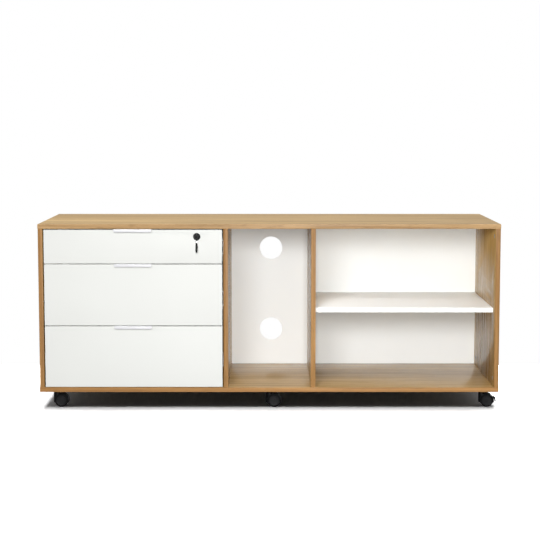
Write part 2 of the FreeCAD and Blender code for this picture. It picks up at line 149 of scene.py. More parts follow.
# %% Define the finish helper
class Finish:
    """A material under construction."""

    def __init__(self, name, **surface):
        self.material = bpy.data.materials.new(name)
        self.material.use_nodes = True
        self.tree = self.material.node_tree
        self.surface = self.tree.nodes["Principled BSDF"]
        self.place = self.add("ShaderNodeTexCoord").outputs["Object"]
        self.set(**surface)

    def set(self, **sockets):
        for name, value in sockets.items():
            join(self.tree, value, self.surface.inputs[name.replace("_", " ")])

    def add(self, kind, settings=None, **sockets):
        return add_node(self.tree, kind, settings, **sockets)

    def scaled(self, scale):
        """Object coordinates, stretched by a scale for each axis."""
        return self.add("ShaderNodeMapping", Vector=self.place, Scale=scale).outputs["Vector"]

    def noise(self, scale, detail=2.0, roughness=0.5, distortion=0.0):
        """Soft random pattern, with features per metre along each axis."""
        sockets = {"Vector": self.scaled(scale), "Scale": 1.0, "Detail": detail}
        sockets.update({"Roughness": roughness, "Distortion": distortion})
        return self.add("ShaderNodeTexNoise", **sockets).outputs["Fac"]

    def ramp(self, value, low, high, start, end):
        """Value spread from one number to another between two thresholds."""
        limits = {"From_Min": low, "From_Max": high, "To_Min": start, "To_Max": end}
        return self.add("ShaderNodeMapRange", Value=value, **limits).outputs["Result"]

    def mix(self, share, first, second, blend="MIX"):
        node = self.add("ShaderNodeMix", {"data_type": "RGBA", "blend_type": blend})
        for value, index in ((share, 0), (first, 6), (second, 7)):
            join(self.tree, value, node.inputs[index])
        return node.outputs[2]

    def bump(self, height, strength, depth):
        """Relief of a given depth in metres."""
        node = self.add("ShaderNodeBump", Height=height, Strength=strength, Distance=depth)
        self.set(Normal=node.outputs["Normal"])


print("finish helper ready, with noise, ramp, mix and bump")

# %% [markdown]
# ## Oak laminate
# The boards are chipboard with a printed oak foil. The print shows broad light and dark bands, thin streaks
# along the grain, darker flecks, short pores and a few small knots, under a satin lacquer. A scanned print
# would repeat and blur up close, so noise that is stretched along the grain makes all of these. The top and
# bottom boards have grain along the width and the uprights have it along the height, so one function makes
# both. The lacquer is smoother on the uprights and the bay floors, which mirror their neighbours at a low
# angle.

# %% Make the oak finishes
arch_dark = (0.76, 0.73, 0.69, 1)
arch_light = (1.12, 1.12, 1.12, 1)
streak_dark = (0.8, 0.78, 0.75, 1)
streak_light = (1.1, 1.1, 1.1, 1)
fleck_brown = colour(122, 92, 56)
pore_brown = colour(104, 70, 38)
knot_brown = colour(92, 60, 34)
grain_depth = 0.04 * MM
lacquer_unevenness = 0.05


def oak(name, axis, light, dark, gloss, roughness, figure):
    """Oak print with its grain along one axis. A figure of 1 is lively and 0 is plain."""

    def along(slow, fast):
        return tuple(slow if letter == axis else fast for letter in "XYZ")

    finish = Finish(name, IOR=1.48, Specular_IOR_Level=gloss)
    bands = finish.noise(along(0.7, 10), detail=3, distortion=0.7)
    arches = finish.noise(along(1.6, 34), detail=4, roughness=0.6, distortion=0.5)
    streaks = finish.noise(along(2.6, 210), detail=5, roughness=0.6)
    pores = finish.noise(along(34, 1150), detail=2)
    flecks = finish.noise(along(17, 95), detail=4, roughness=0.6)
    knot_place = finish.scaled(along(1.3, 4.2))
    knots = finish.add("ShaderNodeTexVoronoi", Vector=knot_place, Scale=1.0).outputs["Distance"]

    plain, lively = 0.5 - figure / 2, 0.5 + figure / 2
    tone = finish.mix(finish.ramp(bands, 0.36, 0.64, 0, 1), dark, light)
    arch_tone = finish.mix(finish.ramp(arches, 0.34, 0.66, plain, lively), arch_dark, arch_light)
    tone = finish.mix(1.0, tone, arch_tone, "MULTIPLY")
    streak_tone = finish.mix(finish.ramp(streaks, 0.34, 0.66, plain, lively), streak_dark, streak_light)
    tone = finish.mix(1.0, tone, streak_tone, "MULTIPLY")
    tone = finish.mix(finish.ramp(flecks, 0.55, 0.72, 0, 0.42), tone, fleck_brown)
    tone = finish.mix(finish.ramp(pores, 0.62, 0.72, 0, 0.45), tone, pore_brown)
    tone = finish.mix(finish.ramp(knots, 0.012, 0.04, 0.7, 0), tone, knot_brown)
    wear = lacquer_unevenness * figure
    finish.set(Base_Color=tone)
    finish.set(Roughness=finish.ramp(streaks, 0.3, 0.7, roughness - wear, roughness + wear))
    relief = finish.mix(0.5, streaks, finish.ramp(pores, 0.6, 0.72, 1, 0))
    finish.bump(relief, strength=0.25, depth=grain_depth)
    return finish.material


# The top, the bay floors and the uprights share one oak print, but each gets its own tone here, set to how that
# board is lit: these small differences are painted light and shade.
top_light = colour(198, 168, 117)
top_dark = colour(177, 147, 97)
upright_light = colour(201, 167, 108)
upright_dark = colour(180, 146, 89)
# The top's edging is much lighter than the other edging: painted light, for the light that its rounded edge
# catches.
lit_top_edge_light = colour(202, 167, 122)
lit_top_edge_dark = colour(191, 155, 110)
floor_light = colour(192, 161, 109)
floor_dark = colour(171, 140, 89)
edge_light = colour(181, 138, 88)
edge_dark = colour(169, 126, 79)
edging = {"gloss": 0.12, "roughness": 0.35, "figure": 1.0}
oak_wide = oak("oak_along_width", "X", top_light, top_dark, gloss=0.35, roughness=0.35, figure=1.0)
oak_floor = oak("oak_of_bay_floors", "X", floor_light, floor_dark, gloss=0.35, roughness=0.22, figure=1.0)
oak_tall = oak("oak_along_height", "Z", upright_light, upright_dark, gloss=0.25, roughness=0.27, figure=0.4)
lit_edging_top = oak("oak_edging_of_top_painted_light", "X", lit_top_edge_light, lit_top_edge_dark, **edging)
edging_wide = oak("oak_edging_along_width", "X", edge_light, edge_dark, **edging)
edging_tall = oak("oak_edging_along_height", "Z", edge_light, edge_dark, **edging)
print("oak finishes: top, bay floors, uprights and three edgings")

# %% [markdown]
# ## White and drawer boards
# The drawer fronts, the shelf and the backs are white melamine: nearly flat, a touch warm, with a very fine
# pebbled texture that breaks up reflections. The drawer boxes are a plainer, duller white. A flat colour
# would look like plastic film, so two scales of noise do it: a broad one for the faint unevenness of a real
# board, and a fine one for the pebbling.


# %% Make the white finishes
def white_board(name, light, dark, roughness):
    finish = Finish(name, IOR=1.46, Specular_IOR_Level=0.25)
    cloud = finish.noise((3, 3, 3), detail=3)
    pebble = finish.noise((900, 900, 900), detail=2)
    finish.set(Base_Color=finish.mix(finish.ramp(cloud, 0.3, 0.7, 0, 1), dark, light))
    finish.set(Roughness=finish.ramp(pebble, 0.3, 0.7, roughness - 0.04, roughness + 0.06))
    finish.bump(pebble, strength=0.12, depth=0.1 * MM)
    return finish.material


# Fronts, shelf and backs are one white melamine. The fronts' darker white is painted shade, and the shelf's
# lighter white is painted light.
white_front_shaded = white_board("white_melamine_painted_shade", colour(235, 236, 232), colour(232, 233, 229), roughness=0.55)
white_shelf = white_board("white_shelf_board_painted_light", colour(247, 248, 247), colour(245, 246, 245), roughness=0.5)
white_back = white_board("white_back_board", colour(239, 242, 242), colour(236, 239, 239), roughness=0.42)
drawer_white = white_board("drawer_board", colour(238, 237, 232), colour(233, 232, 227), roughness=0.5)
print("white finishes: fronts, shelf, backs, drawer boxes")

# %% [markdown]
# ## Metals
# The pulls are steel sheet under white powder coat, which has a soft orange-peel surface. The drawer slides
# are zinc-plated steel, drawn through rollers, so their scratches run along the travel. The key is polished
# and the cam locks are dull die-cast zinc. A metal is mostly what it mirrors, so stretched noise varies its
# roughness as well as its colour.


# %% Make the metal finishes
def powder_coat(name, tone, roughness):
    finish = Finish(name, IOR=1.5, Specular_IOR_Level=0.1)
    peel = finish.noise((650, 650, 650), detail=2)
    dust = finish.noise((18, 18, 18), detail=3)
    dust_share = finish.ramp(dust, 0.35, 0.75, 0, 0.06)
    finish.set(Base_Color=finish.mix(dust_share, tone, colour(190, 190, 186)))
    finish.set(Roughness=finish.ramp(peel, 0.3, 0.7, roughness - 0.05, roughness + 0.08))
    finish.bump(peel, strength=0.2, depth=0.12 * MM)
    return finish.material


def plated(name, light, dark, roughness, scratches):
    finish = Finish(name, Metallic=1.0)
    lines = finish.noise(scratches, detail=4, roughness=0.65)
    cloud = finish.noise((30, 30, 30), detail=3)
    share = finish.ramp(finish.mix(0.45, lines, cloud), 0.35, 0.65, 0, 1)
    finish.set(Base_Color=finish.mix(share, dark, light))
    finish.set(Roughness=finish.ramp(lines, 0.3, 0.7, roughness - 0.07, roughness + 0.1))
    finish.bump(lines, strength=0.15, depth=0.05 * MM)
    return finish.material


pull_white = powder_coat("white_powder_coat", colour(228, 228, 231), roughness=0.42)
# A black coat. On the caster plates this black is painted shade.
black_coat_and_shade = powder_coat("black_coat_and_painted_shade", colour(16, 16, 17), roughness=0.45)
slide_zinc = plated(
    "slide_zinc", colour(205, 207, 208), colour(170, 173, 176), roughness=0.33, scratches=(900, 6, 900),
)
cam_zinc = plated(
    "cast_zinc", colour(188, 187, 182), colour(148, 147, 143), roughness=0.48, scratches=(420, 420, 420),
)
screw_zinc = plated(
    "screw_zinc", colour(200, 201, 200), colour(160, 161, 160), roughness=0.35, scratches=(300, 300, 300),
)
key_steel = plated(
    "key_steel", colour(225, 225, 224), colour(196, 196, 195), roughness=0.2, scratches=(500, 40, 500),
)
print("metal finishes: powder coats, slides, cams, screws, key")

# %% [markdown]
# ## Black pieces
# The lock ring is satin black lacquer on zinc. The caster hoods and the key's grip are moulded with a
# grained surface. On the wheels the discs are smooth and a little lighter, and the rims and treads are
# darker and rougher, because they roll on the floor. Object coordinates can't say how far a point is from
# the axle of a wheel anywhere on the cabinet, so the rims get a finish of their own, and broad noise scuffs
# both.


# %% Make the black finishes
def moulded(name, tone, worn, roughness, grain, wear):
    finish = Finish(name, IOR=1.5, Specular_IOR_Level=0.12)
    pits = finish.noise((grain, grain, grain), detail=2)
    scuffs = finish.noise((90, 90, 90), detail=4, roughness=0.65)
    finish.set(Base_Color=finish.mix(finish.ramp(scuffs, 0.45, 0.75, 0, wear), tone, worn))
    finish.set(Roughness=finish.ramp(scuffs, 0.3, 0.7, roughness - 0.05, roughness + 0.1))
    finish.bump(pits, strength=0.25, depth=0.08 * MM)
    return finish.material


lock_black = moulded(
    "lock_lacquer", colour(14, 14, 15), colour(36, 36, 38), roughness=0.4, grain=700, wear=0.25,
)
grip_black = moulded(
    "key_grip_plastic", colour(30, 31, 30), colour(52, 52, 50), roughness=0.5, grain=1600, wear=0.3,
)
hood_black = moulded(
    "caster_hood_plastic", colour(7, 7, 8), colour(20, 20, 21), roughness=0.45, grain=1500, wear=0.3,
)
wheel_black = moulded(
    "caster_wheel_plastic", colour(27, 27, 28), colour(44, 44, 45), roughness=0.42, grain=1200, wear=0.4,
)
rim_black = moulded(
    "caster_rim_plastic", colour(6, 6, 7), colour(32, 31, 30), roughness=0.6, grain=900, wear=0.35,
)
print("black finishes: lock, key grip, hoods, wheel discs, wheel rims")

# %% [markdown]
# ## Plain surfaces
# Many pieces have the right shape already, and only want a finish: the backs, the drawer boxes, the slides
# and the inner lock pieces. Copies of them would add nothing, so a finish goes on the object's material
# slot, and the mesh stays untouched.

# %% Finish the plain pieces
drawers = ("top", "middle", "bottom")
plain_finishes = {f"back_panel_{bay}": white_back for bay in ("left", "middle", "right")}
plain_finishes["shelf_pins"] = screw_zinc
plain_finishes["slide_cabinet_rails"] = slide_zinc
# The caster plates' black stands in for the shade under the case: painted shade.
plain_finishes["caster_plates"] = black_coat_and_shade
plain_finishes["lock_cover"] = black_coat_and_shade
plain_finishes["lock_plug"] = lock_black
plain_finishes["lock_bolt"] = slide_zinc
for drawer in drawers:
    for piece in ("side_left", "side_right", "back", "base"):
        plain_finishes[f"drawer_{drawer}_{piece}"] = drawer_white
    plain_finishes[f"drawer_{drawer}_slide_rails"] = slide_zinc
    plain_finishes[f"slide_{drawer}_middle_rails"] = slide_zinc
for name, finish in plain_finishes.items():
    parts[name].material_slots[0].material = finish
print("finished in place:", len(plain_finishes))

# %% [markdown]
# ## Rounded edges
# No real edge is perfectly sharp: the plastic edging of a board is rounded, and that thin round catches the
# light. A Bevel modifier does it on a copy of the piece, whose loose triangles are first joined. The copy
# then stands for the piece, rides on the same body, and stays inside the same outline.

# %% Define how a piece is softened
weld_distance = 0.002 * MM
flat_within = math.radians(1)
round_above = math.radians(35)
crease_above = math.radians(40)


def plain_mesh(piece):
    """Turns a piece's modifiers into its mesh."""
    graph = bpy.context.evaluated_depsgraph_get()
    mesh = bpy.data.meshes.new_from_object(piece.evaluated_get(graph))
    piece.modifiers.clear()
    piece.data = mesh


def copied(name):
    """Copy of a piece with its triangles joined into whole faces."""
    piece = bpy.data.objects.new(f"{name}_finished", parts[name].data.copy())
    bpy.context.scene.collection.objects.link(piece)
    shape = bmesh.new()
    shape.from_mesh(piece.data)
    bmesh.ops.remove_doubles(shape, verts=shape.verts, dist=weld_distance)
    bmesh.ops.dissolve_limit(shape, angle_limit=flat_within, verts=shape.verts, edges=shape.edges)
    shape.to_mesh(piece.data)
    shape.free()
    return piece


def rounded(piece, radius, segments=3):
    """Rounds every edge that is sharper than the steps of a turned surface."""
    piece.data.shade_smooth()
    bevel = piece.modifiers.new("rounding", "BEVEL")
    bevel.width = radius
    bevel.segments = segments
    bevel.limit_method = "ANGLE"
    bevel.angle_limit = round_above
    bevel.harden_normals = True
    plain_mesh(piece)
    piece.data.set_sharp_from_angle(angle=crease_above)


def dress(piece, name, *finishes):
    """Gives a piece its finishes and lets it stand for one of the loaded pieces."""
    piece.data.materials.clear()
    for finish in finishes:
        piece.data.materials.append(finish)
    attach(piece, body_of_part[name])
    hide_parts(name)


print("top board as loaded:", len(parts["top_panel"].data.polygons), "loose triangles")

# %% [markdown]
# ## Spare pin holes
# Two uprights have spare holes for the shelf's pins, a standard step apart, which let the shelf be set
# higher. A painted dot would do from afar, but it looks wrong up close, so a Boolean cuts real holes.

# %% Define how pin holes are drilled
pin_step = 32 * MM
pin_hole_radius = 2.5 * MM
pin_hole_depth = 9 * MM
pin_hole_facets = 24
spare_pin_holes = 3
turn_to_x = Matrix.Rotation(math.pi / 2, 3, "Y")

pins_low, pins_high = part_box("shelf_pins")
pin_level = (pins_low.z + pins_high.z) / 2
pin_rows = (pins_low.y + pin_hole_radius, pins_high.y - pin_hole_radius)


def drill_pin_holes(piece, face):
    """Cuts two rows of spare holes in an upright, from one of its faces."""
    shape = bmesh.new()
    for y in pin_rows:
        for step in range(1, spare_pin_holes + 1):
            made = bmesh.ops.create_cone(
                shape, cap_ends=True, segments=pin_hole_facets, radius1=pin_hole_radius,
                radius2=pin_hole_radius, depth=2 * pin_hole_depth,
            )
            bmesh.ops.rotate(shape, verts=made["verts"], matrix=turn_to_x)
            bmesh.ops.translate(shape, verts=made["verts"], vec=(face, y, pin_level + step * pin_step))
    drill = bpy.data.objects.new("drill", bpy.data.meshes.new("drill"))
    shape.to_mesh(drill.data)
    shape.free()
    bpy.context.scene.collection.objects.link(drill)
    cut = piece.modifiers.new("holes", "BOOLEAN")
    cut.object = drill
    plain_mesh(piece)
    bpy.data.objects.remove(drill)


print("rows of pin holes, in mm from the middle:", [round(y / MM) for y in pin_rows])

# %% [markdown]
# ## Case boards
# The six oak boards get rounded edges and a second finish on the front edge, where a strip of plastic
# edging covers the chipboard. The strip could be a piece of its own, but it is thin and lies flush, so a
# finish on the faces that look forward is enough.

# %% Make the case boards
edge_radius = 1.2 * MM
looks_forward = -0.7


def edge_the_front(piece):
    """Puts the second finish on the faces that look forward."""
    for face in piece.data.polygons:
        face.material_index = 1 if face.normal.y < looks_forward else 0


boards = {"top_panel": (oak_wide, lit_edging_top), "bottom_panel": (oak_floor, edging_wide)}
for name in ("side_panel_left", "side_panel_right", "divider_left", "divider_right"):
    boards[name] = (oak_tall, edging_tall)
drilled_faces = {
    "side_panel_right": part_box("side_panel_right")[0].x,
    "divider_right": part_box("divider_right")[1].x,
}
for name, finishes in boards.items():
    board = copied(name)
    if name in drilled_faces:
        drill_pin_holes(board, drilled_faces[name])
    rounded(board, edge_radius)
    dress(board, name, *finishes)
    edge_the_front(board)
spare_holes = len(drilled_faces) * len(pin_rows) * spare_pin_holes
print("oak boards:", len(boards), "with", spare_holes, "spare pin holes")

# %% [markdown]
# ## Drawer fronts, shelf and pulls
# The white fronts and the shelf have the same rounded edging in white. Each pull is a bent strip: its folds
# are already modelled, so only its cut edges are eased. White metal this close to a white front would ring
# itself with a glow that the photograph doesn't have, so light that bounces passes the pulls by.

# %% Make the white pieces
white_edge_radius = 0.8 * MM
pull_edge_radius = 0.3 * MM

for name in ["shelf"] + [f"drawer_{drawer}_front" for drawer in drawers]:
    board = copied(name)
    rounded(board, white_edge_radius)
    # The shelf's front edge takes the fronts' darker white, as painted shade.
    dress(board, name, white_shelf if name == "shelf" else white_front_shaded, white_front_shaded)
    edge_the_front(board)
pulls = []
for drawer in drawers:
    pull = copied(f"drawer_{drawer}_pull")
    rounded(pull, pull_edge_radius, segments=2)
    dress(pull, f"drawer_{drawer}_pull", pull_white)
    pull.visible_diffuse = False
    pulls.append(pull)
print("white pieces:", len(drawers), "fronts,", len(pulls), "pulls and one shelf")

# %% [markdown]
# ## Lock and key
# A black ring sits on the top drawer's front with the key in it. The key folds, so its grip hangs straight
# down. Its blade and the neck that turns on it get black as painted shade, and the cheeks below them are bright
# steel.
# One piece with two finishes needs an edge between them, so a plane cuts the yoke's faces at that height.

# %% Make the lock and key
painted_shade_below_lock = 14 * MM

lock_pieces = {
    "lock_housing": (lock_black, 0.35 * MM),
    "key_grip": (grip_black, 1.4 * MM),
    # The yoke's neck and the blade take the lock's black as painted shade.
    "key_yoke": (lock_black, 0.2 * MM),
    "key_blade": (lock_black, 0.15 * MM),
}


def brighten_below(piece, level, finish):
    """Adds a finish to a piece, for all that lies below a level."""
    shape = bmesh.new()
    shape.from_mesh(piece.data)
    whole = shape.verts[:] + shape.edges[:] + shape.faces[:]
    bmesh.ops.bisect_plane(shape, geom=whole, plane_co=(0, 0, level), plane_no=(0, 0, 1))
    shape.to_mesh(piece.data)
    shape.free()
    piece.data.materials.append(finish)
    for face in piece.data.polygons:
        face.material_index = 1 if face.center.z < level else 0


for name, (finish, radius) in lock_pieces.items():
    piece = copied(name)
    rounded(piece, radius)
    dress(piece, name, finish)
lock_low, lock_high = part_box("lock_plug")
lock_level = (lock_low.z + lock_high.z) / 2
# The yoke keeps the black above this level, as painted shade, and is steel below it.
brighten_below(bpy.data.objects["key_yoke_finished"], lock_level - painted_shade_below_lock, key_steel)
print("lock pieces:", ", ".join(lock_pieces))

# %% [markdown]
# ## Caster hoods and brakes
# Each hood is one moulding over both wheels. Its rims and the brake pedal have small moulded rounds. The
# curves of the hood are loaded with the right shape, so a bevel of its edges is enough, and nothing is
# modelled twice.

# %% Make the hoods and brakes
hood_radius = 0.5 * MM
corners = [f"{row}_{column}" for row in ("front", "rear") for column in ("left", "centre", "right")]
brakes = [name for name in parts if name.endswith("_brake")]
for name in [f"caster_{corner}_hood" for corner in corners] + brakes:
    moulding = copied(name)
    rounded(moulding, hood_radius, segments=2)
    dress(moulding, name, hood_black)
print("hoods:", len(corners), "brakes:", len(brakes))

# %% [markdown]
# ## The wheel's section
# A caster wheel is a turned shape, so half of its section is drawn first, from the hub to the tread. It has
# a small cap on the axle, a shallow dish, a groove round the hub, and a shoulder that is a quarter circle.
# Cylinders could be joined into a wheel too, but a drawn section gives all of these in a few points.

# %% Draw the wheel's section
axle_radius = 3.0 * MM
inner_face = 5.2 * MM
inner_chamfer = 0.6 * MM
shoulder_radius = 3.0 * MM
shoulder_steps = 6
# Depth below the wheel's outer face and distance from the axle, in millimetres.
axle_cap = [(0, 0), (0, 4.2), (0.5, 4.9)]
dish = [(0.7, 13.6), (0.4, 15.4)]
groove = [(1.5, 15.8), (1.5, 16.7), (0.1, 17.1)]


def wheel_section(width, radius):
    """Half section of one wheel, as distance along the axle and distance from it."""
    points = [(width - depth * MM, out * MM) for depth, out in axle_cap + dish + groove]
    for step in range(shoulder_steps + 1):
        angle = math.pi / 2 * step / shoulder_steps
        along = width - shoulder_radius + shoulder_radius * math.cos(angle)
        points.append((along, radius - shoulder_radius + shoulder_radius * math.sin(angle)))
    points += [(inner_face + inner_chamfer, radius), (inner_face, radius - inner_chamfer)]
    return points + [(inner_face, axle_radius), (0, axle_radius)]


face_points = len(axle_cap + dish + groove)
print("wheel section:", face_points, "points on the face,", shoulder_steps + 1, "on the shoulder")

# %% [markdown]
# ## Wheels
# The section is mirrored for the second wheel and spun about the axle, as on a lathe. A Screw modifier
# could turn it too, but a spin makes the mesh at once. The rolling ring gets the darker finish, so a rule
# on the distance from the axle picks its faces.

# %% Turn the wheels
wheel_facets = 56
wheel_crease = math.radians(32)
seam_distance = 0.001 * MM
disc_share = 0.77


def spun_wheels(name):
    """Both wheels of a caster on their axle, with their centre and radius."""
    low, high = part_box(name)
    centre = (low + high) / 2
    radius = (high.x - low.x) / 2
    half = wheel_section((high.y - low.y) / 2, radius)
    section = half + [(-along, out) for along, out in reversed(half)]
    shape = bmesh.new()
    line = [shape.verts.new((0, along, out)) for along, out in section]
    edges = [shape.edges.new(pair) for pair in zip(line, line[1:])]
    bmesh.ops.spin(
        shape, geom=line + edges, cent=(0, 0, 0), axis=(0, 1, 0), angle=2 * math.pi, steps=wheel_facets,
        use_merge=False, use_duplicate=False,
    )
    bmesh.ops.remove_doubles(shape, verts=shape.verts, dist=seam_distance)
    bmesh.ops.recalc_face_normals(shape, faces=shape.faces)
    bmesh.ops.translate(shape, verts=shape.verts, vec=centre)
    piece = bpy.data.objects.new(f"{name}_turned", bpy.data.meshes.new(name))
    shape.to_mesh(piece.data)
    shape.free()
    bpy.context.scene.collection.objects.link(piece)
    piece.data.shade_smooth()
    piece.data.set_sharp_from_angle(angle=wheel_crease)
    return piece, centre, radius


for corner in corners:
    wheels, centre, radius = spun_wheels(f"caster_{corner}_wheels")
    dress(wheels, f"caster_{corner}_wheels", wheel_black, rim_black)
    for face in wheels.data.polygons:
        away = math.hypot(face.center.x - centre.x, face.center.z - centre.z)
        face.material_index = 1 if away > disc_share * radius else 0
print("turned wheels:", len(corners), "pairs of", len(wheels.data.polygons), "faces")

# %% [markdown]
# ## Fasteners
# Screws and cam locks repeat, so Geometry Nodes make them: a head with a cross recess is built once and set
# on every point of a carrier mesh, turned to look the way the point says. The same tree makes flat cam
# discs and domed screw heads, because its sizes are inputs.

# %% Build the fastener tree
head_facets = 20
head_labels = ("Head radius", "Top radius", "Head height", "Recess length", "Recess width", "Recess depth")


def fastener_tree():
    """Tree that sets a head on every point of a mesh."""
    tree = bpy.data.node_groups.new("fastener_heads", "GeometryNodeTree")
    tree.interface.new_socket("Geometry", in_out="INPUT", socket_type="NodeSocketGeometry")
    for label in head_labels:
        tree.interface.new_socket(label, in_out="INPUT", socket_type="NodeSocketFloat")
    tree.interface.new_socket("Finish", in_out="INPUT", socket_type="NodeSocketMaterial")
    tree.interface.new_socket("Geometry", in_out="OUTPUT", socket_type="NodeSocketGeometry")
    add = partial(add_node, tree)

    given = add("NodeGroupInput").outputs
    head = add(
        "GeometryNodeMeshCone", Vertices=head_facets, Radius_Bottom=given["Head radius"],
        Radius_Top=given["Top radius"], Depth=given["Head height"],
    ).outputs["Mesh"]
    # A bar is centred on the head's top, so it is twice as deep as the recess that it cuts.
    depth = add("ShaderNodeMath", {"operation": "MULTIPLY"})
    join(tree, given["Recess depth"], depth.inputs[0])
    join(tree, 2.0, depth.inputs[1])
    bars = add("GeometryNodeJoinGeometry")
    for first, second in (("Recess length", "Recess width"), ("Recess width", "Recess length")):
        size = add("ShaderNodeCombineXYZ", X=given[first], Y=given[second], Z=depth.outputs[0])
        bar = add("GeometryNodeMeshCube", Size=size.outputs[0]).outputs["Mesh"]
        level = add("ShaderNodeCombineXYZ", Z=given["Head height"])
        raised = add("GeometryNodeTransform", Geometry=bar, Translation=level.outputs[0])
        join(tree, raised.outputs["Geometry"], bars.inputs["Geometry"])
    cut = add("GeometryNodeMeshBoolean", {"operation": "DIFFERENCE"}, Mesh_1=head)
    join(tree, bars.outputs["Geometry"], cut.inputs["Mesh 2"])
    facing = add("GeometryNodeInputNamedAttribute", {"data_type": "FLOAT_VECTOR"}, Name="facing")
    turned = add("FunctionNodeAlignRotationToVector", {"axis": "Z"}, Vector=facing.outputs["Attribute"])
    set_out = add(
        "GeometryNodeInstanceOnPoints", Points=given["Geometry"], Instance=cut.outputs["Mesh"],
        Rotation=turned.outputs["Rotation"],
    )
    real = add("GeometryNodeRealizeInstances", Geometry=set_out.outputs["Instances"])
    finished = add("GeometryNodeSetMaterial", Geometry=real.outputs["Geometry"], Material=given["Finish"])
    add("NodeGroupOutput", Geometry=finished.outputs["Geometry"])
    return tree


fasteners = fastener_tree()
print("fastener tree:", len(fasteners.nodes), "nodes")

# %% [markdown]
# ## Setting the fasteners
# Each group of fasteners becomes one plain mesh for one body. A carrier mesh holds one point for each head
# and the direction it looks in. Objects for each screw would be easier to make and slower to draw. The
# modifier's inputs are set by their identifiers, which stay when a label changes.

# %% Define how fasteners are set
fastener_inputs = {}
for item in fasteners.interface.items_tree:
    if item.in_out == "INPUT":
        fastener_inputs[item.name] = item.identifier


def set_fasteners(name, body, finish, sizes, places):
    """One mesh of heads at (point, direction) places, in millimetre sizes, riding on a body."""
    mesh = bpy.data.meshes.new(name)
    mesh.from_pydata([point for point, _ in places], [], [])
    facing = mesh.attributes.new("facing", "FLOAT_VECTOR", "POINT")
    for entry, (_, direction) in zip(facing.data, places):
        entry.vector = direction
    piece = bpy.data.objects.new(name, mesh)
    bpy.context.scene.collection.objects.link(piece)
    modifier = piece.modifiers.new("heads", "NODES")
    modifier.node_group = fasteners
    for label, size in sizes.items():
        modifier[fastener_inputs[label]] = size * MM
    modifier[fastener_inputs["Finish"]] = finish
    plain_mesh(piece)
    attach(piece, body)


def head_sizes(radius, top, height, length, width, depth):
    """Sizes of a head and its recess in millimetres, under the tree's labels."""
    return dict(zip(head_labels, (radius, top, height, length, width, depth)))


cam_head = head_sizes(radius=7.5, top=7.2, height=0.5, length=7.0, width=1.5, depth=0.4)
slide_screw = head_sizes(radius=3.4, top=2.3, height=1.4, length=3.4, width=0.8, depth=0.9)
pull_screw = head_sizes(radius=3.0, top=2.0, height=1.5, length=3.0, width=0.7, depth=1.0)
caster_screw = head_sizes(radius=4.0, top=2.8, height=2.0, length=4.2, width=0.9, depth=1.3)
print("head sizes set for cams, slides, pulls and casters")

# %% [markdown]
# ## Cam locks
# Cams pull each upright onto the top and bottom boards: two near each end, sunk in the face that is easiest
# to reach when the cabinet is put together. They could be cut into the boards, but their discs lie flush,
# so low heads on the surface look the same and leave the boards whole.

# %% Set the cam locks
cam_from_end = 26 * MM
cam_from_edge = 34 * MM
left, right = 0, 1
to_left = Vector((-1, 0, 0))
to_right = Vector((1, 0, 0))

cam_sides = {
    "side_panel_left": right,
    "divider_left": left,
    "divider_right": right,
    "side_panel_right": left,
}
floor_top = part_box("bottom_panel")[1].z
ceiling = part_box("top_panel")[0].z
back_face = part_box("back_panel_left")[0].y
cams = []
for name, side in cam_sides.items():
    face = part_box(name)[side].x
    looks = to_right if side == right else to_left
    for y in (front_edge + cam_from_edge, back_face - cam_from_edge):
        for z in (floor_top + cam_from_end, ceiling - cam_from_end):
            cams.append((Vector((face, y, z)), looks))
set_fasteners("cam_locks", "case", cam_zinc, cam_head, cams)
print("cam locks:", len(cams))

# %% [markdown]
# ## Slide screws and pull screws
# Slide screws hold the rails to the case and the drawers, and two screws behind each front hold its pull.
# Those on a drawer ride with it and the rest stay on the case, so each body gets a mesh of its own.

# %% Set the slide screws and pull screws
rail_sheet = 1.2 * MM
slide_screw_inset = 37 * MM
pull_screw_spread = 96 * MM
pull_screw_drop = 13 * MM
to_back = Vector((0, 1, 0))

case_low, case_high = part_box("slide_cabinet_rails")
case_screws = []
for drawer in drawers:
    low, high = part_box(f"slide_{drawer}_middle_rails")
    level = (low.z + high.z) / 2
    side_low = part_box(f"drawer_{drawer}_side_left")[0].x
    side_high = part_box(f"drawer_{drawer}_side_right")[1].x
    drawer_screws = []
    for y in (low.y + slide_screw_inset, (low.y + high.y) / 2, high.y - slide_screw_inset):
        case_screws.append((Vector((case_low.x + rail_sheet, y, level)), to_right))
        case_screws.append((Vector((case_high.x - rail_sheet, y, level)), to_left))
        drawer_screws.append((Vector((side_low - rail_sheet, y, level)), to_left))
        drawer_screws.append((Vector((side_high + rail_sheet, y, level)), to_right))
    body = f"drawer_{drawer}"
    set_fasteners(f"{body}_slide_screws", body, screw_zinc, slide_screw, drawer_screws)
    low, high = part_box(f"drawer_{drawer}_pull")
    middle = (low.x + high.x) / 2
    pull_screws = []
    for x in (middle - pull_screw_spread / 2, middle + pull_screw_spread / 2):
        pull_screws.append((Vector((x, high.y, high.z - pull_screw_drop)), to_back))
    set_fasteners(f"{body}_pull_screws", body, screw_zinc, pull_screw, pull_screws)
set_fasteners("slide_case_screws", "case", screw_zinc, slide_screw, case_screws)
print("screws in the case:", len(case_screws), "in each drawer:", len(drawer_screws) + len(pull_screws))

# %% [markdown]
# ## Caster screws
# Four screws hold each caster's plate under the bottom board. The swivel joints say where the plates are,
# so the screws follow the casters if these are moved.

# %% Set the caster screws
plate_screw_inset = 6 * MM
downward = Vector((0, 0, -1))

